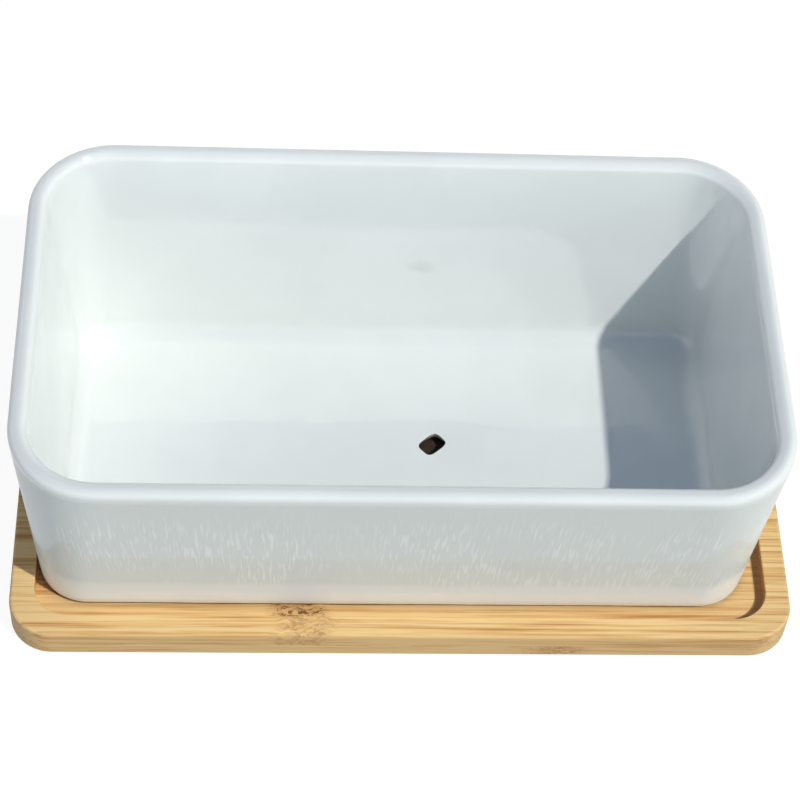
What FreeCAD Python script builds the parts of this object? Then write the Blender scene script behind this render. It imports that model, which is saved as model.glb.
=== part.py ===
import FreeCAD, Part
import os

# Indoor herb planter: a glazed ceramic pot standing in the recess of a laminated bamboo tray.
# Millimetres. The origin is the middle of the tray's underside, X runs along the long side, Z is up.

# Pot: one cast and fired piece, wider at the rim than at the foot, with walls that thicken downwards
rim_length = 260.0
rim_depth = 153.0
pot_height = 85.5
end_draw = 6.0
side_draw = 13.5
rim_corner_radius = 30.0
foot_corner_radius = 17.5
rim_wall = 7.0
floor_wall = 9.0
floor_thickness = 4.0
foot_bevel = 2.0
floor_fillet = 7.0

# Foot ring left standing round the unglazed underside
foot_ring_width = 9.0
foot_ring_height = 1.5

# Drain hole in the pot floor, off the middle towards one end
drain_hole_diameter = 10.0
drain_hole_x = 14.2
drain_hole_y = 3.3

# Room round the foot of the pot in the recess, uneven all round, as it is set down by hand
left_clearance = 1.0
right_clearance = 6.9
front_clearance = 7.0
back_clearance = 4.7

# Tray: a bamboo board of two plies of flat strips, with a shallow routed recess that takes the foot
recess_depth = 5.0
recess_corner_radius = 12.0
recess_edge_bevel = 0.5
recess_border = 8.3
board_thickness = 12.0
board_corner_radius = 15.0
board_edge_bevel = 1.0
upper_ply_thickness = 6.0
strips_across = 8
lower_stagger_share = 0.5

# How far cutting tools run past what they cut, and how near two heights count as level
cut_overrun = 5.0
level_slack = 0.01

# The most of the soil space's corner radius, and of its basin's height, that the floor fillet may take
corner_limit_share = 0.9
basin_fillet_share = 0.9

# The recess is as large as the foot and the room round it, and the board as the recess and its border
foot_length = rim_length - 2 * end_draw
foot_depth = rim_depth - 2 * side_draw
recess_length = foot_length + left_clearance + right_clearance
recess_width = foot_depth + front_clearance + back_clearance
board_length = recess_length + 2 * recess_border
board_depth = recess_width + 2 * recess_border
pot_place_x = (left_clearance - right_clearance) / 2
pot_place_y = (front_clearance - back_clearance) / 2


def rounded_outline(length, depth, corner_radius, height):
    """A closed wire in a level plane: four straight sides joined by four quarter arcs."""
    straight_x = length / 2 - corner_radius
    straight_y = depth / 2 - corner_radius
    upright = FreeCAD.Vector(0, 0, 1)
    corners = (
        (straight_x, straight_y, 0),
        (-straight_x, straight_y, 90),
        (-straight_x, -straight_y, 180),
        (straight_x, -straight_y, 270),
    )
    arcs = []
    for x, y, start_angle in corners:
        centre = FreeCAD.Vector(x, y, height)
        arcs.append(Part.makeCircle(corner_radius, centre, upright, start_angle, start_angle + 90))
    edges = []
    for arc, next_arc in zip(arcs, arcs[1:] + arcs[:1]):
        edges.append(arc)
        edges.append(Part.makeLine(arc.Vertexes[-1].Point, next_arc.Vertexes[0].Point))
    return Part.Wire(edges)


def level_edges(solid, height):
    """The edges of a solid that lie level at a height."""
    found = []
    for edge in solid.Edges:
        low = abs(edge.BoundBox.ZMin - height)
        high = abs(edge.BoundBox.ZMax - height)
        if max(low, high) < level_slack:
            found.append(edge)
    return found


def outer_corner_radius(height):
    """The pot's upright corners open out from the foot to the rim."""
    rise = height / pot_height
    return foot_corner_radius + (rim_corner_radius - foot_corner_radius) * rise


def pot_outline(height, inset):
    """The pot's outline at a height above its foot, drawn in by an inset from the outer face."""
    drop = 1 - height / pot_height
    length = rim_length - 2 * end_draw * drop - 2 * inset
    depth = rim_depth - 2 * side_draw * drop - 2 * inset
    return rounded_outline(length, depth, outer_corner_radius(height) - inset, height)


def rim_centre_height():
    """The rim is fully rounded over, so its round centres half a wall below the top."""
    return pot_height - rim_wall / 2


def cast_body():
    """The outside of the pot up to the rim's round: a tapered block, bevelled at the foot."""
    outlines = [
        pot_outline(0, foot_bevel),
        pot_outline(foot_bevel, 0),
        pot_outline(rim_centre_height(), 0),
    ]
    return Part.makeLoft(outlines, True, True)


def rim_round():
    """The rounded lip: a half disc swept round the middle of the wall."""
    height = rim_centre_height()
    path = pot_outline(height, rim_wall / 2)
    radius = rim_wall / 2
    start = path.Edges[0].valueAt(path.Edges[0].FirstParameter)
    level = FreeCAD.Vector(1, 0, 0)
    top = start + FreeCAD.Vector(0, 0, radius)
    arc = Part.Arc(start + level * radius, top, start - level * radius).toShape()
    chord = Part.makeLine(start - level * radius, start + level * radius)
    return path.makePipeShell([Part.Wire([arc, chord])], True, False)


def floor_basin(floor_height, fillet, basin_height):
    """The lowest part of the soil space: upright walls that turn into the floor by a fillet."""
    basin_mouth = pot_outline(floor_height + basin_height, floor_wall)
    basin = Part.Face(basin_mouth).extrude(FreeCAD.Vector(0, 0, -basin_height))
    return basin.makeFillet(fillet, level_edges(basin, floor_height))


def soil_cavity():
    """The space for the soil: the rounded basin at the floor and the opening walls above it."""
    floor_height = foot_ring_height + floor_thickness
    corner_limit = (outer_corner_radius(floor_height) - floor_wall) * corner_limit_share
    fillet = min(floor_fillet, corner_limit)
    basin_height = fillet / basin_fillet_share
    walls = [
        pot_outline(floor_height + basin_height, floor_wall),
        pot_outline(rim_centre_height(), rim_wall),
    ]
    basin = floor_basin(floor_height, fillet, basin_height)
    return Part.makeLoft(walls, True, True).fuse(basin)


def foot_hollow():
    """The shallow hollow inside the foot ring."""
    length = foot_length - 2 * foot_ring_width
    depth = foot_depth - 2 * foot_ring_width
    outline = rounded_outline(length, depth, foot_corner_radius - foot_ring_width, -cut_overrun)
    return Part.Face(outline).extrude(FreeCAD.Vector(0, 0, cut_overrun + foot_ring_height))


def drain_hole():
    """The round drain hole through the floor."""
    bottom = FreeCAD.Vector(drain_hole_x, drain_hole_y, -cut_overrun)
    length = foot_ring_height + floor_thickness + 2 * cut_overrun
    return Part.makeCylinder(drain_hole_diameter / 2, length, bottom)


def ceramic_pot():
    """The whole pot, stood on the floor of the recess."""
    pot = cast_body().cut(soil_cavity()).fuse(rim_round())
    pot = pot.cut(foot_hollow()).cut(drain_hole())
    pot.translate(FreeCAD.Vector(pot_place_x, pot_place_y, board_thickness - recess_depth))
    return pot


def routed_recess():
    """The space that the router takes out of the board, its mouth eased all round."""
    floor_height = board_thickness - recess_depth
    floor = rounded_outline(recess_length, recess_width, recess_corner_radius, floor_height)
    recess = Part.Face(floor).extrude(FreeCAD.Vector(0, 0, recess_depth + cut_overrun))
    flare = recess_edge_bevel
    lip_height = board_thickness - flare
    lip_outline = rounded_outline(recess_length, recess_width, recess_corner_radius, lip_height)
    wide_length = recess_length + 2 * flare
    wide_width = recess_width + 2 * flare
    wide_radius = recess_corner_radius + flare
    wide_outline = rounded_outline(wide_length, wide_width, wide_radius, board_thickness)
    eased_mouth = Part.makeLoft([lip_outline, wide_outline], True, True)
    return recess.fuse(eased_mouth)


def bamboo_board():
    """The tray before it is told apart into strips."""
    outline = rounded_outline(board_length, board_depth, board_corner_radius, 0)
    board = Part.Face(outline).extrude(FreeCAD.Vector(0, 0, board_thickness))
    outer_edges = level_edges(board, 0) + level_edges(board, board_thickness)
    return board.makeChamfer(board_edge_bevel, outer_edges).cut(routed_recess())


def glue_lines(stagger_share):
    """Where the strips of a ply meet, from the front edge to the back, both edges included."""
    strip_width = board_depth / strips_across
    lines = [-board_depth / 2]
    for place in range(strips_across):
        line = -board_depth / 2 + (place + stagger_share) * strip_width
        if line > lines[-1]:
            lines.append(line)
    lines.append(board_depth / 2)
    return lines


def ply_strips(board, name, stagger_share, bottom, top):
    """The strips of one ply, numbered from the front of the tray."""
    strips = {}
    lines = glue_lines(stagger_share)
    for number, (front, back) in enumerate(zip(lines, lines[1:]), 1):
        corner = FreeCAD.Vector(-board_length / 2 - cut_overrun, front, bottom)
        slab = Part.makeBox(board_length + 2 * cut_overrun, back - front, top - bottom, corner)
        strips[f"{name}_{number}"] = board.common(slab)
    return strips


pieces = {"ceramic_pot": ceramic_pot()}
tray_board = bamboo_board()
ply_joint = board_thickness - upper_ply_thickness
pieces.update(ply_strips(tray_board, "upper_strip", 0, ply_joint, board_thickness))
pieces.update(ply_strips(tray_board, "lower_strip", lower_stagger_share, 0, ply_joint))

os.makedirs("parts", exist_ok=True)
for piece_name, piece in pieces.items():
    solid = piece.Solids[0]
    solid.exportStep(f"parts/{piece_name}.step")
    print(piece_name, len(piece.Solids), "solid", round(solid.Volume), "mm3, valid", solid.isValid())
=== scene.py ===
import math
import bpy
from mathutils import Matrix, Vector


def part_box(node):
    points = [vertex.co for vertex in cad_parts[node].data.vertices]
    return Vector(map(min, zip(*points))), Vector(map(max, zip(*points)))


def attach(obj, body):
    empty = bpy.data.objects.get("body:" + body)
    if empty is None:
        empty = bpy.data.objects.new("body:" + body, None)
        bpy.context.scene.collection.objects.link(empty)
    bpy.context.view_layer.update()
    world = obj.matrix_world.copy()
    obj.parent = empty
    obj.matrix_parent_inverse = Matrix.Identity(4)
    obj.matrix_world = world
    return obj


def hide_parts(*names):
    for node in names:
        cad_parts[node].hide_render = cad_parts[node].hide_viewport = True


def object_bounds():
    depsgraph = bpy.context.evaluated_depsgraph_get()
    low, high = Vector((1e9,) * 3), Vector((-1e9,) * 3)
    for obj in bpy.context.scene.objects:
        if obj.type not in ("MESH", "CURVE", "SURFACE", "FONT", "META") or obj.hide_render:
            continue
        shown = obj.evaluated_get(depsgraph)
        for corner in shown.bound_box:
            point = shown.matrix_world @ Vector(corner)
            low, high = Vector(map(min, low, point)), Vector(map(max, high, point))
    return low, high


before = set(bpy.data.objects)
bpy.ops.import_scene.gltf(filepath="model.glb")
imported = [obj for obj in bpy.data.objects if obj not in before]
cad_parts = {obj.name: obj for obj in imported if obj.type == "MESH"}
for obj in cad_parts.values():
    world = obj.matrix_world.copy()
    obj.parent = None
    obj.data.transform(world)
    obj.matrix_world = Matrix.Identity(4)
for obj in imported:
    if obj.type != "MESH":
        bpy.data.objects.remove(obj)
cad_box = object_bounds()


# Ceramic pot
# One slip-cast piece of white clay under a clear glossy glaze, wider at the lip than at the foot.
# Its wall is one section that runs from the drain hole under the floor, up the outside, over the
# round lip and down the inside back to the hole. Each station of that section gives one ring.
pot_low, pot_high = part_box("ceramic_pot")
pot_place = Vector(((pot_low.x + pot_high.x) / 2, (pot_low.y + pot_high.y) / 2, pot_low.z))
pot_height = pot_high.z - pot_low.z
lip_length = 0.260
lip_depth = 0.153
end_draw = 0.006
side_draw = 0.0135
lip_corner = 0.030
foot_corner = 0.0175
lip_wall = 0.007
floor_wall = 0.009
floor_top = 0.0055
floor_fillet = 0.007
foot_round = 0.002
foot_ring_width = 0.009
foot_ring_height = 0.0015
foot_ring_ease = 0.0002
foot_ring_margin = 0.0007
foot_round_margin = 0.0006
hole_long = 0.00458
hole_short = 0.0034
hole_turn = 0.73
hole_squareness = 3.9
hole_ease = 0.0003
hole_flare = 0.0012
hole_x = 0.0144
hole_y = 0.0033
half_turn = math.pi
quarter_turn = math.pi / 2
hole_foot_steps = 4
underside_start = 0.9
underside_steps = 9
foot_ring_wall = (0.55, 0.12)
foot_ring_steps = 3
foot_round_steps = 6
wall_steps = 28
lip_steps = 16
inside_steps = 26
fillet_steps = 10
floor_steps = 22
hole_lip_steps = 5
hole_steps = 4
pot_columns = (16, 40, 22)
weld_distance = 1e-6
glaze_waver = 0.0002
waver_scale = 22.0
waver_seed = 3.0
# Painted shade round the foot: where its band stops, and how soft and wavy that edge is
foot_shade_top = 0.0021
foot_shade_fade = 0.0002
foot_shade_waver = 0.0005
foot_shade_edge_scale = 160.0
# Where the outside turns paler towards the foot
low_outside_band = (0.0215, 0.0155)
runs_start = (0.011, 0.019)
runs_end = (0.054, 0.074)
runs_at_lip = 0.15
coat_outside = 0.35
glaze_full = (0.895, 0.925, 0.905, 1.0)
glaze_thin = (0.860, 0.890, 0.870, 1.0)
glaze_outer = (0.845, 0.880, 0.835, 1.0)
low_outside_pale = (0.94, 0.98, 0.96, 1.0)
glaze_fleck = (0.955, 1.0, 0.95, 1.0)
iron_speck = (0.20, 0.17, 0.15, 1.0)
# Painted shade at the foot: dark brown with darker grains
foot_shade_brown = (0.15, 0.09, 0.05, 1.0)
foot_shade_grain = (0.09, 0.05, 0.025, 1.0)
run_stretch = (1000.0, 1000.0, 90.0)
run_limits = (0.49, 0.67)
run_bump = (0.35, 0.0001)
patch_stretch = (30.0, 30.0, 24.0)
patch_limits = (0.34, 0.58)
pool_scale = 26.0
pool_limits = (0.35, 0.68)
pull_scale = 34.0
pull_bump = (0.16, 0.0012)
peel_scale = 900.0
peel_bump = (0.04, 0.0001)
speck_cells = 62.0
speck_reach = (0.016, 0.034)
speck_rarity = (0.90, 0.91)
speck_strength = 0.7
# Grit and bump in the painted foot shade
foot_shade_grit_scale = 1500.0
foot_shade_grit_limits = (0.3, 0.7)
foot_shade_grit_bump = (0.4, 0.0003)


def put(tree, kind, wires=None, **settings):
    """Adds a node to a tree, sets it up, and joins or sets its inputs by name or by place."""
    node = tree.nodes.new(kind)
    for word, value in settings.items():
        setattr(node, word, value)
    for key, value in (wires or {}).items():
        if isinstance(value, bpy.types.NodeSocket):
            tree.links.new(value, node.inputs[key])
        else:
            node.inputs[key].default_value = value
    return node


def reckon(tree, work, *values):
    """One step of arithmetic in a tree, on sockets or plain numbers."""
    return put(tree, "ShaderNodeMath", dict(enumerate(values)), operation=work).outputs[0]


def stations(name, words, rows):
    """Loose points that carry the named numbers for a form tree, one point for each row."""
    mesh = bpy.data.meshes.new(name)
    mesh.from_pydata([(0, 0, 0)] * len(rows), [], [])
    for place, word in enumerate(words):
        numbers = mesh.attributes.new(word, "FLOAT", "POINT")
        numbers.data.foreach_set("value", [float(row[place]) for row in rows])
    points = bpy.data.objects.new(name, mesh)
    bpy.context.scene.collection.objects.link(points)
    return points


def oblong_plan(name, corner_steps, long_steps, short_steps):
    """The columns once round an oblong: the corner centre that each hangs on, and its turn."""
    corners = ((1, 1), (-1, 1), (-1, -1), (1, -1))
    columns = []
    for quarter, (x, y) in enumerate(corners):
        for step in range(corner_steps):
            columns.append((x, y, (quarter + step / corner_steps) * quarter_turn))
        next_x, next_y = corners[(quarter + 1) % len(corners)]
        steps = long_steps if x != next_x else short_steps
        for step in range(steps):
            share = step / steps
            side = (x + (next_x - x) * share, y + (next_y - y) * share)
            columns.append((*side, (quarter + 1) * quarter_turn))
    columns.append(columns[0])
    return stations(name, ("centre_x", "centre_y", "turn"), columns)


def along(start, end, steps):
    """Even places from start to end, both included."""
    return [start + (end - start) * step / steps for step in range(steps + 1)]


def section(name, rows):
    """The stations of a wall's section, from (inset, height) and what else a station needs."""
    words = ("inset", "height", "hole_share", "hole_growth", "corner_gain", "outside")
    full = [tuple(row) + (0,) * (len(words) - len(row)) for row in rows]
    return stations(name, words, full)


def rounded_form_tree():
    """Rings of rounded oblongs, one for each station of a section, joined into one skin."""
    tree = bpy.data.node_groups.new("rounded_form", "GeometryNodeTree")
    face = tree.interface
    face.new_socket("Skin", in_out="OUTPUT", socket_type="NodeSocketGeometry")
    face.new_socket("Section", in_out="INPUT", socket_type="NodeSocketObject")
    face.new_socket("Plan", in_out="INPUT", socket_type="NodeSocketObject")
    sizes = ("Length", "Depth", "Height", "End draw", "Side draw", "Top corner", "Foot corner")
    holes = ("Hole long", "Hole short", "Hole turn", "Hole X", "Hole Y")
    for size in sizes + holes + ("Waver", "Seed"):
        face.new_socket(size, in_out="INPUT", socket_type="NodeSocketFloat")
    face.new_socket("Place", in_out="INPUT", socket_type="NodeSocketVector")
    face.new_socket("Finish", in_out="INPUT", socket_type="NodeSocketMaterial")
    given = tree.nodes.new("NodeGroupInput").outputs

    def points_of(word):
        return put(tree, "GeometryNodeObjectInfo", {"Object": given[word]}).outputs["Geometry"]

    def count_of(points):
        size = put(tree, "GeometryNodeAttributeDomainSize", {"Geometry": points})
        return size.outputs["Point Count"]

    rings, columns = points_of("Section"), points_of("Plan")
    column_count = count_of(columns)
    counts = {"Vertices X": count_of(rings), "Vertices Y": column_count}
    grid = put(tree, "GeometryNodeMeshGrid", counts).outputs["Mesh"]
    index = put(tree, "GeometryNodeInputIndex").outputs[0]
    middle = reckon(tree, "ADD", index, 0.5)
    ring = reckon(tree, "FLOOR", reckon(tree, "DIVIDE", middle, column_count))
    column = reckon(tree, "SUBTRACT", index, reckon(tree, "MULTIPLY", ring, column_count))

    def read(points, word, place):
        named = put(tree, "GeometryNodeInputNamedAttribute", {"Name": word}, data_type="FLOAT")
        wires = {"Geometry": points, "Value": named.outputs["Attribute"], "Index": place}
        found = put(tree, "GeometryNodeSampleIndex", wires, data_type="FLOAT", domain="POINT")
        return found.outputs["Value"]

    inset = read(rings, "inset", ring)
    height = read(rings, "height", ring)
    share = read(rings, "hole_share", ring)
    turn = read(columns, "turn", column)
    rise = reckon(tree, "DIVIDE", height, given["Height"])
    drop = reckon(tree, "SUBTRACT", 1.0, rise)
    opening = reckon(tree, "SUBTRACT", given["Top corner"], given["Foot corner"])
    corner = reckon(tree, "MULTIPLY_ADD", opening, rise, given["Foot corner"])
    corner = reckon(tree, "SUBTRACT", corner, inset)
    corner = reckon(tree, "ADD", corner, read(rings, "corner_gain", ring))

    def oblong(size, draw, centre, part):
        half = reckon(tree, "MULTIPLY", given[size], 0.5)
        half = reckon(tree, "SUBTRACT", half, reckon(tree, "MULTIPLY", given[draw], drop))
        half = reckon(tree, "SUBTRACT", half, inset)
        straight = reckon(tree, "SUBTRACT", half, corner)
        arc = reckon(tree, "MULTIPLY", corner, reckon(tree, part, turn))
        return reckon(tree, "MULTIPLY_ADD", read(columns, centre, column), straight, arc)

    x = oblong("Length", "End draw", "centre_x", "COSINE")
    y = oblong("Depth", "Side draw", "centre_y", "SINE")
    away_x = reckon(tree, "SUBTRACT", x, given["Hole X"])
    away_y = reckon(tree, "SUBTRACT", y, given["Hole Y"])
    angle = reckon(tree, "ARCTAN2", away_y, away_x)
    turned = reckon(tree, "SUBTRACT", angle, given["Hole turn"])

    def reach_along(part, size):
        share_of = reckon(tree, "DIVIDE", reckon(tree, part, turned), given[size])
        return reckon(tree, "POWER", reckon(tree, "ABSOLUTE", share_of), hole_squareness)

    long_part = reach_along("COSINE", "Hole long")
    reach = reckon(tree, "ADD", long_part, reach_along("SINE", "Hole short"))
    reach = reckon(tree, "POWER", reach, -1 / hole_squareness)
    reach = reckon(tree, "ADD", reach, read(rings, "hole_growth", ring))

    def towards_hole(from_rim, middle_of_hole, part):
        at_hole = reckon(tree, "MULTIPLY_ADD", reach, reckon(tree, part, angle), middle_of_hole)
        step = reckon(tree, "SUBTRACT", at_hole, from_rim)
        return reckon(tree, "MULTIPLY_ADD", step, share, from_rim)

    x = towards_hole(x, given["Hole X"], "COSINE")
    y = towards_hole(y, given["Hole Y"], "SINE")
    spot = put(tree, "ShaderNodeCombineXYZ", {"X": x, "Y": y, "Z": height}).outputs[0]
    spot = put(tree, "ShaderNodeVectorMath", {0: spot, 1: given["Place"]}).outputs[0]
    wires = {"Geometry": grid, "Name": "outside", "Value": read(rings, "outside", ring)}
    marked = put(tree, "GeometryNodeStoreNamedAttribute", wires, data_type="FLOAT", domain="POINT")
    wires = {"Geometry": marked.outputs[0], "Position": spot}
    formed = put(tree, "GeometryNodeSetPosition", wires).outputs[0]
    wires = {"Geometry": formed, "Distance": weld_distance}
    closed = put(tree, "GeometryNodeMergeByDistance", wires).outputs[0]
    closed = put(tree, "GeometryNodeFlipFaces", {"Mesh": closed}).outputs[0]
    here = put(tree, "GeometryNodeInputPosition").outputs[0]
    wires = {"Vector": here, "W": given["Seed"], "Scale": waver_scale, "Detail": 1.0}
    noise = put(tree, "ShaderNodeTexNoise", wires, noise_dimensions="4D").outputs[0]
    sink = reckon(tree, "MULTIPLY", noise, reckon(tree, "MULTIPLY", given["Waver"], -1.0))
    normal = put(tree, "GeometryNodeInputNormal").outputs[0]
    wires = {0: normal, "Scale": sink}
    offset = put(tree, "ShaderNodeVectorMath", wires, operation="SCALE").outputs[0]
    wires = {"Geometry": closed, "Offset": offset}
    wavered = put(tree, "GeometryNodeSetPosition", wires).outputs[0]
    smooth = put(tree, "GeometryNodeSetShadeSmooth", {"Geometry": wavered}).outputs[0]
    real = put(tree, "GeometryNodeRealizeInstances", {"Geometry": smooth}).outputs[0]
    wires = {"Geometry": real, "Material": given["Finish"]}
    finished = put(tree, "GeometryNodeSetMaterial", wires).outputs[0]
    put(tree, "NodeGroupOutput", {"Skin": finished})
    return tree


def grow(name, tree, values):
    """Runs a tree on a new object with its named inputs, and keeps the result as a plain mesh."""
    thing = bpy.data.objects.new(name, bpy.data.meshes.new(name))
    bpy.context.scene.collection.objects.link(thing)
    maker = thing.modifiers.new("maker", "NODES")
    maker.node_group = tree
    for socket in tree.interface.items_tree:
        if socket.in_out == "INPUT":
            maker[socket.identifier] = values[socket.name]
    bpy.context.view_layer.update()
    view = bpy.context.evaluated_depsgraph_get()
    mesh = bpy.data.meshes.new_from_object(thing.evaluated_get(view), depsgraph=view)
    thing.modifiers.clear()
    mesh.name = name
    thing.data = mesh
    return thing


def face_outwards(thing):
    """Turns a closed skin's faces outwards if the volume that they hold comes out negative."""
    mesh = thing.data
    mesh.calc_loop_triangles()
    held = 0.0
    for triangle in mesh.loop_triangles:
        a, b, c = (mesh.vertices[i].co for i in triangle.vertices)
        held += a.dot(b.cross(c))
    if held < 0:
        mesh.flip_normals()


pot_rows = []
floor_inset = floor_wall + floor_fillet
for angle in along(0, quarter_turn, hole_foot_steps):
    growth = hole_flare + hole_ease * (1 - math.cos(angle))
    height = foot_ring_height + hole_ease * (1 - math.sin(angle))
    pot_rows.append((foot_ring_width, height, 1, growth))
underside_inset = foot_ring_width + foot_ring_margin
for share in along(underside_start, 0, underside_steps):
    pot_rows.append((underside_inset, foot_ring_height, share, hole_flare + hole_ease))
ring_high, ring_low = (foot_ring_height * share for share in foot_ring_wall)
pot_rows.append((foot_ring_width + foot_ring_ease, ring_high))
pot_rows.append((foot_ring_width - foot_ring_ease, ring_low))
ring_inner, ring_outer = foot_ring_width - foot_ring_margin, foot_round + foot_round_margin
for inset in along(ring_inner, ring_outer, foot_ring_steps):
    pot_rows.append((inset, 0))
for angle in along(0, quarter_turn, foot_round_steps):
    side, up = 1 - math.sin(angle), 1 - math.cos(angle)
    pot_rows.append((foot_round * side, foot_round * up, 0, 0, 0, 1))
lip_centre = pot_height - lip_wall / 2
for height in along(foot_round, lip_centre, wall_steps)[1:-1]:
    pot_rows.append((0, height, 0, 0, 0, 1))
for angle in along(0, half_turn, lip_steps):
    inset = lip_wall / 2 * (1 - math.cos(angle))
    pot_rows.append((inset, lip_centre + lip_wall / 2 * math.sin(angle)))
for share in along(0, 1, inside_steps)[1:-1]:
    inset = lip_wall + (floor_wall - lip_wall) * share
    height = lip_centre + (floor_top + floor_fillet - lip_centre) * share
    pot_rows.append((inset, height))
for angle in along(0, quarter_turn, fillet_steps):
    inset = floor_wall + floor_fillet * (1 - math.cos(angle))
    pot_rows.append((inset, floor_top + floor_fillet * (1 - math.sin(angle))))
for share in along(0, 1, floor_steps)[1:-1]:
    pot_rows.append((floor_inset, floor_top, share, hole_ease))
for angle in along(0, quarter_turn, hole_lip_steps):
    growth = hole_ease * (1 - math.sin(angle))
    height = floor_top - hole_ease * (1 - math.cos(angle))
    pot_rows.append((floor_inset, height, 1, growth))
for share in along(0, 1, hole_steps)[1:-1]:
    height = floor_top - hole_ease - share * (floor_top - foot_ring_height - 2 * hole_ease)
    pot_rows.append((floor_inset, height, 1, hole_flare * share))
pot_rows.append(pot_rows[0])


def object_space(tree):
    """The piece's own coordinates, which turn and lift with it."""
    return tree.nodes.new("ShaderNodeTexCoord").outputs["Object"]


def stretched(tree, spot, stretch):
    """Coordinates drawn out so that a pattern on them runs the way the stretch says."""
    return put(tree, "ShaderNodeMapping", {"Vector": spot, "Scale": stretch}).outputs[0]


def mottle(tree, spot, scale, detail=2.0, roughness=0.5, distortion=0.0):
    """Soft random patches, from 0 to 1."""
    wires = {"Vector": spot, "Scale": scale, "Detail": detail}
    wires.update({"Roughness": roughness, "Distortion": distortion})
    return put(tree, "ShaderNodeTexNoise", wires).outputs["Fac"]


def fade(tree, value, low, high, start=0.0, end=1.0):
    """A smooth step of a value from start, at low, to end, at high."""
    wires = {"Value": value, "From Min": low, "From Max": high, "To Min": start, "To Max": end}
    step = put(tree, "ShaderNodeMapRange", wires, interpolation_type="SMOOTHSTEP")
    return step.outputs[0]


def tinted(tree, share, first, second):
    """Two colours mixed by a share: sockets 6 and 7 of the node, with the result in socket 2."""
    wires = {0: share, 6: first, 7: second}
    return put(tree, "ShaderNodeMix", wires, data_type="RGBA").outputs[2]


def parts_of(tree, vector):
    """The three parts of a vector or colour."""
    return put(tree, "ShaderNodeSeparateXYZ", {0: vector}).outputs


def product(tree, *values):
    """Several shares multiplied together."""
    result = values[0]
    for value in values[1:]:
        result = reckon(tree, "MULTIPLY", result, value)
    return result


def bumped(tree, height, strength, distance, under=None):
    """A surface roughened by a height, over another one where it is given."""
    wires = {"Height": height, "Strength": strength, "Distance": distance}
    if under is not None:
        wires["Normal"] = under
    return put(tree, "ShaderNodeBump", wires).outputs[0]


def new_finish(name):
    """An empty material with its tree."""
    material = bpy.data.materials.new(name)
    material.use_nodes = True
    material.node_tree.nodes.clear()
    return material, material.node_tree


def leaning_with_the_wall(tree, spot, above_foot):
    """Coordinates in which the leaning walls of the pot stand upright."""
    x, y, height = parts_of(tree, spot)
    end_slope = end_draw / (lip_length / 2 - end_draw) / pot_height
    side_slope = side_draw / (lip_depth / 2 - side_draw) / pot_height
    growth_x = reckon(tree, "MULTIPLY_ADD", above_foot, end_slope, 1.0)
    growth_y = reckon(tree, "MULTIPLY_ADD", above_foot, side_slope, 1.0)
    upright = {
        "X": reckon(tree, "DIVIDE", reckon(tree, "SUBTRACT", x, pot_place.x), growth_x),
        "Y": reckon(tree, "DIVIDE", reckon(tree, "SUBTRACT", y, pot_place.y), growth_y),
        "Z": height,
    }
    return put(tree, "ShaderNodeCombineXYZ", upright).outputs[0]


def glaze_runs(tree, spot, above_foot, outside):
    """Pale fine runs down the outside, in patches, that keep clear of the foot and of the lip."""
    down_the_wall = leaning_with_the_wall(tree, spot, above_foot)
    runs = mottle(tree, stretched(tree, down_the_wall, run_stretch), 1.0, 1.0, 0.55)
    patches = mottle(tree, stretched(tree, spot, patch_stretch), 1.0, 2.0)
    foot_clear = fade(tree, above_foot, *runs_start)
    lip_clear = fade(tree, above_foot, *runs_end, 1.0, runs_at_lip)
    runs = product(tree, fade(tree, runs, *run_limits), fade(tree, patches, *patch_limits))
    return product(tree, runs, foot_clear, lip_clear, outside)


def iron_specks(tree, spot):
    """A few specks, each in a cell of its own."""
    cells = put(tree, "ShaderNodeTexVoronoi", {"Vector": spot, "Scale": speck_cells}).outputs
    rare = fade(tree, parts_of(tree, cells["Color"])[0], *speck_rarity)
    return product(tree, fade(tree, cells["Distance"], *speck_reach, 1.0, 0.0), rare)


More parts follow.
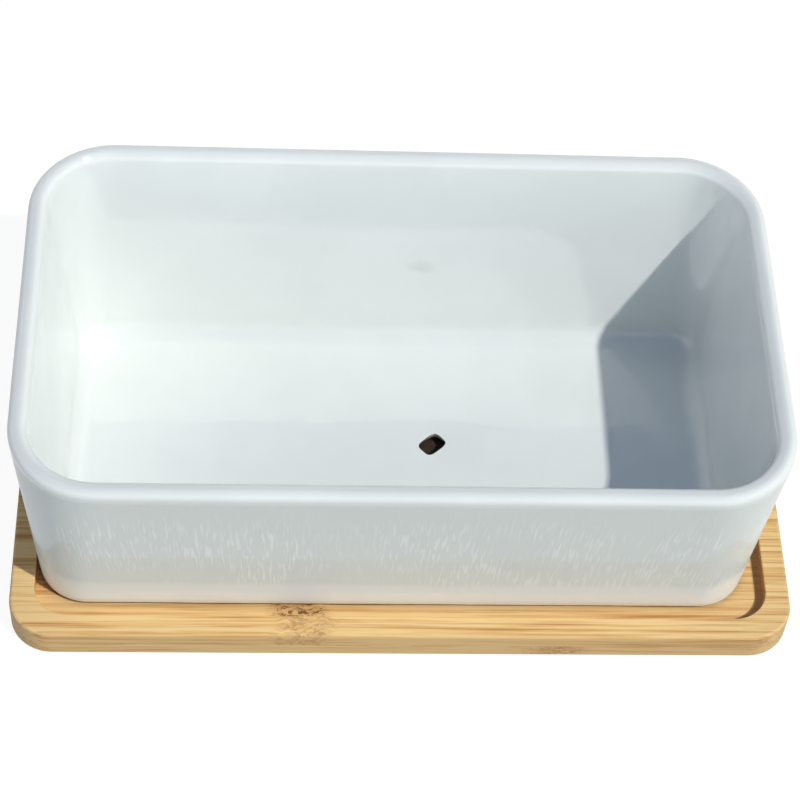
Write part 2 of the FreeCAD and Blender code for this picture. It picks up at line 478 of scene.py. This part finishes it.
def glaze_finish():
    """Clear glaze over white clay: pooled and thin places, pale runs outside, a dark band of
    painted shade round the foot.
    """
    material, tree = new_finish("white_glaze")
    spot = object_space(tree)
    height = parts_of(tree, spot)[2]
    above_foot = reckon(tree, "SUBTRACT", height, pot_place.z)
    outside = put(tree, "ShaderNodeAttribute", attribute_name="outside").outputs["Fac"]
    pooled = fade(tree, mottle(tree, spot, pool_scale, 3.0), *pool_limits)
    colour = tinted(tree, pooled, glaze_thin, glaze_full)
    colour = tinted(tree, outside, colour, glaze_outer)
    # The outside turns paler towards the foot, over its lowest 15 to 20 mm
    paler_low = product(tree, fade(tree, above_foot, *low_outside_band), outside)
    colour = tinted(tree, paler_low, colour, low_outside_pale)
    runs = glaze_runs(tree, spot, above_foot, outside)
    colour = tinted(tree, runs, colour, glaze_fleck)
    specks = product(tree, iron_specks(tree, spot), speck_strength)
    colour = tinted(tree, specks, colour, iron_speck)
    pull = mottle(tree, spot, pull_scale, 1.0)
    peel = mottle(tree, spot, peel_scale, 1.0)
    normal = bumped(tree, pull, *pull_bump)
    normal = bumped(tree, peel, *peel_bump, normal)
    normal = bumped(tree, runs, *run_bump, normal)
    glazed = put(tree, "ShaderNodeBsdfPrincipled", {
        "Base Color": colour,
        "Roughness": 0.45,
        "IOR": 1.45,
        "Specular IOR Level": 0.15,
        "Normal": normal,
        "Coat Weight": fade(tree, outside, 0.0, 1.0, 1.0, coat_outside),
        "Coat Roughness": 0.01,
        "Coat IOR": 1.85,
        "Coat Normal": normal,
    }).outputs[0]
    # Painted shade: a dark brown band round the lowest 2 mm of the pot and on its underside, for
    # the shade of the gap under the foot
    grit = mottle(tree, spot, foot_shade_grit_scale, 3.0, 0.7)
    foot_shade = put(tree, "ShaderNodeBsdfPrincipled", {
        "Base Color": tinted(tree, fade(tree, grit, *foot_shade_grit_limits), foot_shade_brown, foot_shade_grain),
        "Roughness": 0.85,
        "Normal": bumped(tree, grit, *foot_shade_grit_bump),
    }).outputs[0]
    # The painted foot shade ends at a wavering height just above the foot
    edge = mottle(tree, spot, foot_shade_edge_scale)
    edge = reckon(tree, "MULTIPLY_ADD", edge, foot_shade_waver, height)
    line = pot_place.z + foot_shade_top
    above_foot_shade = fade(tree, edge, line, line + foot_shade_fade)
    mix = put(tree, "ShaderNodeMixShader", {0: above_foot_shade, 1: foot_shade, 2: glazed}).outputs[0]
    put(tree, "ShaderNodeOutputMaterial", {"Surface": mix})
    return material


form_tree = rounded_form_tree()
pot_section = section("pot_section", pot_rows)
pot_plan = oblong_plan("pot_plan", *pot_columns)
pot = grow("glazed_pot", form_tree, {
    "Section": pot_section,
    "Plan": pot_plan,
    "Length": lip_length,
    "Depth": lip_depth,
    "Height": pot_height,
    "End draw": end_draw,
    "Side draw": side_draw,
    "Top corner": lip_corner,
    "Foot corner": foot_corner,
    "Hole long": hole_long,
    "Hole short": hole_short,
    "Hole turn": hole_turn,
    "Hole X": hole_x,
    "Hole Y": hole_y,
    "Waver": glaze_waver,
    "Seed": waver_seed,
    "Place": tuple(pot_place),
    "Finish": glaze_finish(),
})
face_outwards(pot)
bpy.data.objects.remove(pot_section)
bpy.data.objects.remove(pot_plan)
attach(pot, "pot")
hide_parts("ceramic_pot")


# Bamboo board
# The tray before the strips are told apart: a flat board with rounded corners, its arrises eased
# by sanding, and a shallow recess routed into its top to take the foot of the pot.
board_length = cad_box[1].x - cad_box[0].x
board_depth = cad_box[1].y - cad_box[0].y
board_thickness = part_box("upper_strip_1")[1].z
ply_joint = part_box("upper_strip_1")[0].z
board_corner = 0.015
board_edge = 0.0011
recess_border = 0.0083
recess_depth = 0.005
recess_floor = board_thickness - recess_depth
recess_corner = 0.012
recess_lip = 0.0005
recess_cove = 0.0003
flat_margin = 0.0003
flat_steps = 3
edge_steps = 5
recess_lip_steps = 4
recess_cove_steps = 3
recess_floor_steps = 4
board_columns = (12, 12, 9)

# The board has no hole: its rings close to a point, set off from the middle glue line
pole_y = 0.004
pole_reach = 1e-7

board_rows = []
for share in along(1, 0, flat_steps):
    board_rows.append((board_edge + flat_margin * 2, 0, share))
board_rows.append((board_edge + flat_margin, 0))
for angle in along(0, quarter_turn, edge_steps):
    board_rows.append((board_edge * (1 - math.sin(angle)), board_edge * (1 - math.cos(angle))))
board_rows.append((0, board_edge + flat_margin))
board_rows.append((0, board_thickness - board_edge - flat_margin))
for angle in along(0, quarter_turn, edge_steps):
    height = board_thickness - board_edge * (1 - math.sin(angle))
    board_rows.append((board_edge * (1 - math.cos(angle)), height))
board_rows.append((board_edge + flat_margin, board_thickness))
recess_gain = recess_corner - (board_corner - recess_border)
board_rows.append((recess_border - recess_lip - flat_margin, board_thickness, 0, 0, recess_gain))
for angle in along(0, quarter_turn, recess_lip_steps):
    inset = recess_border - recess_lip * (1 - math.sin(angle))
    height = board_thickness - recess_lip * (1 - math.cos(angle))
    board_rows.append((inset, height, 0, 0, recess_gain))
board_rows.append((recess_border, board_thickness - recess_lip - flat_margin, 0, 0, recess_gain))
board_rows.append((recess_border, recess_floor + recess_cove + flat_margin, 0, 0, recess_gain))
for angle in along(0, quarter_turn, recess_cove_steps):
    inset = recess_border + recess_cove * (1 - math.cos(angle))
    height = recess_floor + recess_cove * (1 - math.sin(angle))
    board_rows.append((inset, height, 0, 0, recess_gain))
for share in along(0, 1, recess_floor_steps):
    inset = recess_border + recess_cove + flat_margin
    board_rows.append((inset, recess_floor, share, 0, recess_gain))

board_section = section("board_section", board_rows)
board_plan = oblong_plan("board_plan", *board_columns)
board = grow("whole_board", form_tree, {
    "Section": board_section,
    "Plan": board_plan,
    "Length": board_length,
    "Depth": board_depth,
    "Height": board_thickness,
    "End draw": 0.0,
    "Side draw": 0.0,
    "Top corner": board_corner,
    "Foot corner": board_corner,
    "Hole long": pole_reach,
    "Hole short": pole_reach,
    "Hole turn": 0.0,
    "Hole X": 0.0,
    "Hole Y": pole_y,
    "Waver": 0.0,
    "Seed": 0.0,
    "Place": (0.0, 0.0, 0.0),
    "Finish": None,
})
face_outwards(board)
bpy.data.objects.remove(board_section)
bpy.data.objects.remove(board_plan)


# Bamboo strips
# Flat-pressed slats of split bamboo, glued edge to edge in two plies, the lower ply set over by
# half a strip. The fibres run along the tray, and each slat keeps its own tone and its culm nodes.
strip_count = 8
strip_width = board_depth / strip_count
strip_overrun = 0.004
level_slack = 1e-6
arris_angle = math.radians(35)
upper_nodes = (0.368, 0.83, 0.55, 0.12, 0.71, 0.27, 0.90, 0.44)
lower_nodes = (0.693, 0.21, 0.58, 0.86, 0.35, 0.74, 0.15, 0.49, 0.66)
straw = (0.885, 0.610, 0.285, 1.0)
honey = (0.735, 0.435, 0.165, 1.0)
toast = (0.52, 0.250, 0.078, 1.0)
# Painted shade in the right end of the recess
recess_shade_brown = (0.26, 0.105, 0.035, 1.0)
fibre_brown = (0.36, 0.165, 0.050, 1.0)
node_brown = (0.18, 0.060, 0.016, 1.0)
seam_pale = (0.86, 0.68, 0.50, 1.0)
# Painted shade under the drain hole, and where it lies
hole_shade_brown = (0.022, 0.012, 0.009, 1.0)
hole_shade_x = pot_place.x + hole_x
hole_shade_y = pot_place.y + hole_y
hole_shade_spread = (0.0120, 0.0170)
hole_shade_waver = 0.006
skin_depth = 0.0004
ring_bow = 0.009
ring_reach = (0.005, 0.013)
ring_swirl = 0.006
slat_lean = 0.012
bow_stretch = (0.0, 120.0, 120.0)
swirl_stretch = (160.0, 260.0, 260.0)
grain_stretches = ((6.0, 190.0, 190.0), (13.0, 620.0, 620.0), (38.0, 1900.0, 1900.0))
bundle_stretch = (22.0, 1150.0, 1150.0)
crowd_stretch = (90.0, 170.0, 170.0)
fleck_stretch = (380.0, 1500.0, 1500.0)
broken_stretch = (48.0, 48.0, 0.0)
own_starts = (3.0, 0.7)
own_tones = 0.05
broad_share = 0.24
middling_share = 0.50
fine_share = 0.26
straw_limits = (0.43, 0.56)
toast_limits = (0.46, 0.36)
toast_most = 0.85
bundle_rarity = (0.55, 0.75)
bundle_reach = (0.12, 0.38)
bundle_strength = 0.42
crowd_limits = (0.30, 0.50)
crowd_lane = 0.72
crowd_reach = (0.10, 0.24)
crowd_least = 0.4
crowd_strength = 0.45
fleck_limits = (0.50, 0.57)
fleck_strength = 0.9
# Painted shade under the drain hole: its stretch along the fibres, its patchiness and its strength
hole_shade_stretch = 0.8
hole_shade_scale = 90.0
hole_shade_strength = 0.97
# How dark the painted shade in the right end of the recess gets
recess_shade_strength = 0.7
ledge_limits = (0.60, 0.44)
ledge_strength = 0.6
seam_limits = (0.42, 0.56)
joint_strength = 0.55
side_limits = (0.6, 0.95)
side_strength = 0.18
end_limits = (0.55, 0.95)
end_strength = 0.45
pore_strength = 0.5
dash_sink = -0.6
joint_sink = -0.8
fleck_sink = -0.8
grain_bump = (0.35, 0.00025)
oil_limits = (0.3, 0.7)
oil_roughness = (0.46, 0.60)
glue_half = (0.00016, 0.00005)
seam_half = (0.00006, 0.00020)
ledge_drop = 0.0004
ledge_half = (0.0002, 0.0005)
# Painted shade in the right end of the recess: its reach from the wall, its start behind it, its
# span along the end, and its top and foot on the wall
recess_shade_reach = (0.0024, 0.0036)
recess_shade_start = (-0.0012, -0.0007)
recess_shade_from_end = (0.022, 0.012)
recess_shade_top = (0.0038, 0.0046)
recess_shade_foot = (0.0003, 0.0006)


def strip_tree():
    """One strip: what the glue lines leave of the whole board between them."""
    tree = bpy.data.node_groups.new("strip_of_board", "GeometryNodeTree")
    face = tree.interface
    face.new_socket("Strip", in_out="OUTPUT", socket_type="NodeSocketGeometry")
    face.new_socket("Board", in_out="INPUT", socket_type="NodeSocketObject")
    for size in ("Length", "Front", "Back", "Bottom", "Top"):
        face.new_socket(size, in_out="INPUT", socket_type="NodeSocketFloat")
    face.new_socket("Finish", in_out="INPUT", socket_type="NodeSocketMaterial")
    given = tree.nodes.new("NodeGroupInput").outputs
    width = reckon(tree, "SUBTRACT", given["Back"], given["Front"])
    thickness = reckon(tree, "SUBTRACT", given["Top"], given["Bottom"])
    size = {"X": given["Length"], "Y": width, "Z": thickness}
    size = put(tree, "ShaderNodeCombineXYZ", size).outputs[0]
    slab = put(tree, "GeometryNodeMeshCube", {"Size": size}).outputs["Mesh"]
    middle_y = reckon(tree, "MULTIPLY_ADD", width, 0.5, given["Front"])
    middle_z = reckon(tree, "MULTIPLY_ADD", thickness, 0.5, given["Bottom"])
    middle = put(tree, "ShaderNodeCombineXYZ", {"Y": middle_y, "Z": middle_z}).outputs[0]
    wires = {"Geometry": slab, "Translation": middle}
    slab = put(tree, "GeometryNodeTransform", wires).outputs[0]
    whole = put(tree, "GeometryNodeObjectInfo", {"Object": given["Board"]}).outputs["Geometry"]
    shared = put(tree, "GeometryNodeMeshBoolean", operation="INTERSECT")
    tree.links.new(whole, shared.inputs["Mesh 2"])
    tree.links.new(slab, shared.inputs["Mesh 2"])
    wires = {"Geometry": shared.outputs["Mesh"]}
    real = put(tree, "GeometryNodeRealizeInstances", wires).outputs[0]
    wires = {"Geometry": real, "Material": given["Finish"]}
    finished = put(tree, "GeometryNodeSetMaterial", wires).outputs[0]
    put(tree, "NodeGroupOutput", {"Strip": finished})
    return tree


def length_of(tree, x, y):
    """The length of a level step."""
    step = put(tree, "ShaderNodeCombineXYZ", {"X": x, "Y": y}).outputs[0]
    return put(tree, "ShaderNodeVectorMath", {0: step}, operation="LENGTH").outputs["Value"]


def step_from(tree, value, middle):
    """How far a value is from a middle, either way."""
    return reckon(tree, "ABSOLUTE", reckon(tree, "SUBTRACT", value, middle))


def ring_of(tree, spot, x, lane, node_places):
    """The zone of the culm node on each strip, 1 at the node's middle."""
    picker = put(tree, "ShaderNodeValToRGB")
    ramp = picker.color_ramp
    ramp.interpolation = "CONSTANT"
    while len(ramp.elements) < len(node_places):
        ramp.elements.new(0.99)
    for number, place in enumerate(node_places):
        ramp.elements[number].position = number / len(node_places)
        ramp.elements[number].color = (place, place, place, 1.0)
    pick = reckon(tree, "DIVIDE", reckon(tree, "ADD", lane, 0.5), float(len(node_places)))
    tree.links.new(pick, picker.inputs[0])
    ring_x = reckon(tree, "SUBTRACT", picker.outputs[0], 0.5)
    ring_x = reckon(tree, "MULTIPLY", ring_x, board_length)
    from_ring = reckon(tree, "SUBTRACT", x, ring_x)
    bow = mottle(tree, stretched(tree, spot, bow_stretch), 1.0, 1.0)
    bow = reckon(tree, "SUBTRACT", bow, 0.5)
    from_ring = reckon(tree, "MULTIPLY_ADD", bow, ring_bow, from_ring)
    return fade(tree, reckon(tree, "ABSOLUTE", from_ring), *ring_reach, 1.0, 0.0)


def grain_space(tree, spot, own, ring_zone):
    """Coordinates along the fibres, which swirl at the node and start afresh on each strip."""
    x, y, z = parts_of(tree, spot)
    swirl = mottle(tree, stretched(tree, spot, swirl_stretch), 1.0)
    swirl = product(tree, reckon(tree, "SUBTRACT", swirl, 0.5), ring_zone, ring_swirl)
    lean = product(tree, reckon(tree, "SUBTRACT", own[2], 0.5), slat_lean)
    shift = reckon(tree, "MULTIPLY_ADD", x, lean, swirl)
    wires = {
        "X": reckon(tree, "MULTIPLY_ADD", own[0], own_starts[0], x),
        "Y": reckon(tree, "ADD", y, shift),
        "Z": reckon(tree, "MULTIPLY_ADD", own[1], own_starts[1], z),
    }
    return put(tree, "ShaderNodeCombineXYZ", wires).outputs[0]


def painted_hole_shade(tree, spot, x, y):
    """A dark round of painted shade on the bamboo under the drain hole, drawn out along the
    fibres.
    """
    away_x = product(tree, reckon(tree, "SUBTRACT", x, hole_shade_x), hole_shade_stretch)
    from_hole = length_of(tree, away_x, reckon(tree, "SUBTRACT", y, hole_shade_y))
    patches = mottle(tree, spot, hole_shade_scale)
    from_hole = reckon(tree, "MULTIPLY_ADD", patches, hole_shade_waver, from_hole)
    return fade(tree, from_hole, *hole_shade_spread, hole_shade_strength, 0.0)


def painted_recess_shade(tree, x, y, z):
    """Painted shade in the right end of the recess: dark brown on its floor near the wall and up
    the wall.
    """
    end_wall = board_length / 2 - recess_border
    side_wall = board_depth / 2 - recess_border
    past_x = reckon(tree, "SUBTRACT", x, end_wall - recess_corner)
    past_y = reckon(tree, "ABSOLUTE", y)
    past_y = reckon(tree, "SUBTRACT", past_y, side_wall - recess_corner)
    outer_x = reckon(tree, "MAXIMUM", past_x, 0.0)
    round_part = length_of(tree, outer_x, reckon(tree, "MAXIMUM", past_y, 0.0))
    flat_part = reckon(tree, "MINIMUM", reckon(tree, "MAXIMUM", past_x, past_y), 0.0)
    from_wall = reckon(tree, "ADD", round_part, flat_part)
    from_wall = reckon(tree, "SUBTRACT", recess_corner, from_wall)
    end_start, end_full = (end_wall - reach for reach in recess_shade_from_end)
    top_start, top_end = (recess_floor + rise for rise in recess_shade_top)
    foot_start, foot_full = (ply_joint + rise for rise in recess_shade_foot)
    return product(
        tree,
        fade(tree, from_wall, *recess_shade_reach, recess_shade_strength, 0.0),
        fade(tree, from_wall, *recess_shade_start),
        fade(tree, x, end_start, end_full),
        fade(tree, z, top_start, top_end, 1.0, 0.0),
        fade(tree, z, foot_start, foot_full),
    )


def bamboo_finish(name, stagger, node_places, seed):
    """Oiled bamboo: long fibres, darker bundles, a tone for each strip, nodes and glue lines, with
    painted shade under the drain hole and in the right end of the recess.
    """
    material, tree = new_finish(name)
    spot = object_space(tree)
    x, y, z = parts_of(tree, spot)
    inner_y = reckon(tree, "MAXIMUM", y, skin_depth - board_depth / 2)
    inner_y = reckon(tree, "MINIMUM", inner_y, board_depth / 2 - skin_depth)
    lanes = reckon(tree, "MULTIPLY_ADD", inner_y, 1 / strip_width, strip_count / 2 + stagger)
    lane = reckon(tree, "FLOOR", lanes)
    across = reckon(tree, "FRACT", lanes)
    wires = {"W": reckon(tree, "ADD", lane, seed)}
    chance = put(tree, "ShaderNodeTexWhiteNoise", wires, noise_dimensions="1D")
    own = parts_of(tree, chance.outputs["Color"])
    ring_zone = ring_of(tree, spot, x, lane, node_places)
    grain = grain_space(tree, spot, own, ring_zone)

    broad, middling, fine = (stretched(tree, grain, stretch) for stretch in grain_stretches)
    broad = mottle(tree, broad, 1.0, 2.0, 0.5, 0.3)
    middling = mottle(tree, middling, 1.0, 2.0, 0.55, 0.2)
    fine = mottle(tree, fine, 1.0, 2.0, 0.6)
    fibres = product(tree, middling, middling_share)
    fibres = reckon(tree, "MULTIPLY_ADD", broad, broad_share, fibres)
    fibres = reckon(tree, "MULTIPLY_ADD", fine, fine_share, fibres)
    own_tone = reckon(tree, "SUBTRACT", own[1], 0.5)
    toned = reckon(tree, "MULTIPLY_ADD", own_tone, own_tones, fibres)
    colour = tinted(tree, fade(tree, toned, *straw_limits), honey, straw)
    colour = tinted(tree, fade(tree, toned, *toast_limits, 0.0, toast_most), colour, toast)

    wires = {"Vector": stretched(tree, grain, bundle_stretch), "Scale": 1.0}
    bundles = put(tree, "ShaderNodeTexVoronoi", wires).outputs
    kept = fade(tree, parts_of(tree, bundles["Color"])[0], *bundle_rarity)
    dash = product(tree, fade(tree, bundles["Distance"], *bundle_reach, 1.0, 0.0), kept)
    colour = tinted(tree, product(tree, dash, bundle_strength), colour, fibre_brown)

    crowd = mottle(tree, stretched(tree, grain, crowd_stretch), 1.0, 2.0)
    from_band = step_from(tree, across, crowd_lane)
    in_band = fade(tree, from_band, *crowd_reach, 1.0, crowd_least)
    crowd = product(tree, fade(tree, crowd, *crowd_limits), ring_zone, in_band)
    flecks = mottle(tree, stretched(tree, grain, fleck_stretch), 1.0, 2.0, 0.6, 0.25)
    flecks = product(tree, fade(tree, flecks, *fleck_limits), crowd)
    colour = tinted(tree, product(tree, crowd, crowd_strength), colour, toast)
    colour = tinted(tree, product(tree, flecks, fleck_strength), colour, node_brown)

    broken = mottle(tree, stretched(tree, spot, broken_stretch), 1.0, 2.0)
    above = reckon(tree, "SUBTRACT", z, ply_joint)
    ledge = fade(tree, step_from(tree, above, -ledge_drop), *ledge_half, 1.0, 0.0)
    ledge = product(tree, ledge, fade(tree, broken, *ledge_limits))
    colour = tinted(tree, product(tree, ledge, ledge_strength), colour, seam_pale)
    glue_start, glue_full = (0.5 - half_line / strip_width for half_line in glue_half)
    glue = fade(tree, step_from(tree, across, 0.5), glue_start, glue_full)
    seam = fade(tree, reckon(tree, "ABSOLUTE", above), *seam_half, 1.0, 0.0)
    seam = product(tree, seam, fade(tree, broken, *seam_limits))
    joint = reckon(tree, "MAXIMUM", glue, seam)
    colour = tinted(tree, product(tree, joint, joint_strength), colour, fibre_brown)

    # Painted shade under the drain hole
    colour = tinted(tree, painted_hole_shade(tree, spot, x, y), colour, hole_shade_brown)
    # Painted shade in the right end of the recess, on the floor by the wall and up the wall
    colour = tinted(tree, painted_recess_shade(tree, x, y, z), colour, recess_shade_brown)

    facing = tree.nodes.new("ShaderNodeTexCoord").outputs["Normal"]
    facing_x, facing_y = parts_of(tree, facing)[:2]
    side = fade(tree, reckon(tree, "ABSOLUTE", facing_y), *side_limits)
    end = fade(tree, reckon(tree, "ABSOLUTE", facing_x), *end_limits)
    colour = tinted(tree, product(tree, side, side_strength), colour, toast)
    colour = tinted(tree, product(tree, end, end_strength), colour, toast)
    colour = tinted(tree, product(tree, dash, end, pore_strength), colour, node_brown)

    height = reckon(tree, "MULTIPLY_ADD", dash, dash_sink, fibres)
    height = reckon(tree, "MULTIPLY_ADD", joint, joint_sink, height)
    height = reckon(tree, "MULTIPLY_ADD", flecks, fleck_sink, height)
    oiled = put(tree, "ShaderNodeBsdfPrincipled", {
        "Base Color": colour,
        "Roughness": fade(tree, fibres, *oil_limits, *oil_roughness),
        "IOR": 1.45,
        "Specular IOR Level": 0.35,
        "Normal": bumped(tree, height, *grain_bump),
    }).outputs[0]
    put(tree, "ShaderNodeOutputMaterial", {"Surface": oiled})
    return material


def even_out(strip):
    """Smooth shading over the eased arrises, with the wide flat faces kept flat."""
    strip.data.shade_smooth()
    strip.data.set_sharp_from_angle(angle=arris_angle)
    weighing = strip.modifiers.new("weighing", "WEIGHTED_NORMAL")
    weighing.keep_sharp = True
    view = bpy.context.evaluated_depsgraph_get()
    mesh = bpy.data.meshes.new_from_object(strip.evaluated_get(view), depsgraph=view)
    strip.modifiers.clear()
    mesh.name = strip.name
    strip.data = mesh


def glue_lines(stagger):
    """Where the strips of a ply meet, from the front edge of the board to the back."""
    front = -board_depth / 2
    lines = [front + (place + stagger) * strip_width for place in range(strip_count)]
    inner = [line for line in lines if line > front + level_slack]
    return [front - strip_overrun, *inner, board_depth / 2 + strip_overrun]


slicer = strip_tree()
plies = (
    ("upper", 0.0, ply_joint, board_thickness + strip_overrun, upper_nodes, 0.0, 4.0),
    ("lower", 0.5, -strip_overrun, ply_joint, lower_nodes, 0.5, 31.0),
)
for ply, stagger, bottom, top, node_places, lane_shift, seed in plies:
    finish = bamboo_finish(ply + "_bamboo", lane_shift, node_places, seed)
    lines = glue_lines(stagger)
    for number, (front, back) in enumerate(zip(lines, lines[1:]), 1):
        strip = grow(f"bamboo_{ply}_{number}", slicer, {
            "Board": board,
            "Length": board_length + strip_overrun * 2,
            "Front": front,
            "Back": back,
            "Bottom": bottom,
            "Top": top,
            "Finish": finish,
        })
        even_out(strip)
        face_outwards(strip)
        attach(strip, "tray")
        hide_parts(f"{ply}_strip_{number}")
bpy.data.objects.remove(board)


# Floor, lamps and camera
# A plain pale table under one high lamp at the front right, whose edge of shade falls across the
# inside of the pot, with a cool fill from the sky that is strongest in front.
white = (1.0, 1.0, 1.0, 1.0)
table_half = 4.0
table_glow = 0.93
sun_way = Vector((0.576, -0.50, 1.0))
sun_strength = 2.32
sun_spread = math.radians(1.6)
sun_colour = (1.0, 0.99, 0.93)
fill_strength = 1.25
fill_front = (0.81, 0.90, 0.96, 1.0)
fill_round = (0.38, 0.385, 0.38, 1.0)
fill_high = (0.025, 0.050, 0.120, 1.0)
ceiling = (0.22, 0.30, 0.45, 1.0)
ceiling_rise = (0.50, 0.72)
front_reach = (0.2, -0.9)
high_rise = (0.10, 0.80)
table_shade = (0.13, 0.13, 0.13, 1.0)
table_plain = (0.25, 0.25, 0.25, 1.0)


def seen_plainly(tree):
    """1 for what the camera sees, also in gloss and through glass, and 0 for the light itself."""
    path = tree.nodes.new("ShaderNodeLightPath").outputs
    seen = reckon(tree, "MAXIMUM", path["Is Camera Ray"], path["Is Glossy Ray"])
    return reckon(tree, "MAXIMUM", seen, path["Is Transmission Ray"])


signs = ((-1, -1), (1, -1), (1, 1), (-1, 1))
table_corners = [(x * table_half, y * table_half, 0) for x, y in signs]
table_mesh = bpy.data.meshes.new("table")
table_mesh.from_pydata(table_corners, [], [(0, 1, 2, 3)])
table = bpy.data.objects.new("table", table_mesh)
bpy.context.scene.collection.objects.link(table)
table_finish, tree = new_finish("pale_table")
shaded = put(tree, "ShaderNodeBsdfDiffuse", {"Color": table_shade}).outputs[0]
glow = put(tree, "ShaderNodeEmission", {"Color": white, "Strength": table_glow}).outputs[0]
pale = put(tree, "ShaderNodeAddShader", {0: shaded, 1: glow}).outputs[0]
plain = put(tree, "ShaderNodeBsdfDiffuse", {"Color": table_plain}).outputs[0]
mixed = put(tree, "ShaderNodeMixShader", {0: seen_plainly(tree), 1: plain, 2: pale}).outputs[0]
put(tree, "ShaderNodeOutputMaterial", {"Surface": mixed})
table.data.materials.append(table_finish)

world = bpy.data.worlds.new("fill")
world.use_nodes = True
tree = world.node_tree
tree.nodes.clear()
way = tree.nodes.new("ShaderNodeTexCoord").outputs["Generated"]
backwards, rise = parts_of(tree, way)[1:]
seen_colour = tinted(tree, fade(tree, rise, *ceiling_rise), white, ceiling)
low_colour = tinted(tree, fade(tree, backwards, *front_reach), fill_round, fill_front)
fill_colour = tinted(tree, fade(tree, rise, *high_rise), low_colour, fill_high)
backdrop = put(tree, "ShaderNodeBackground", {"Color": seen_colour, "Strength": 1.0}).outputs[0]
wires = {"Color": fill_colour, "Strength": fill_strength}
fill = put(tree, "ShaderNodeBackground", wires).outputs[0]
mixed = put(tree, "ShaderNodeMixShader", {0: seen_plainly(tree), 1: fill, 2: backdrop}).outputs[0]
put(tree, "ShaderNodeOutputWorld", {"Surface": mixed})
bpy.context.scene.world = world

sun = bpy.data.lights.new("key", "SUN")
sun.energy = sun_strength
sun.angle = sun_spread
sun.color = sun_colour
key = bpy.data.objects.new("key", sun)
key.rotation_mode = "QUATERNION"
key.rotation_quaternion = sun_way.to_track_quat("Z", "Y")
bpy.context.scene.collection.objects.link(key)

# The lens, its place and the way it is turned come from the edges of the pot and the tray
lens = bpy.data.cameras.new("camera")
lens.sensor_width = 36.0
lens.lens = 110.25
lens.shift_x = -0.09
lens.shift_y = -0.0875
lens.clip_end = 20.0
camera = bpy.data.objects.new("camera", lens)
right = Vector((0.996391, -0.039088, 0.075341))
up = Vector((-0.016187, 0.783847, 0.620743))
back = Vector((-0.083319, -0.619723, 0.780386))
camera.matrix_world = Matrix((right, up, back)).transposed().to_4x4()
camera.location = (-0.049283, -0.518377, 0.738175)
bpy.context.scene.collection.objects.link(camera)
bpy.context.scene.camera = camera
bpy.context.scene.view_settings.view_transform = "Standard"
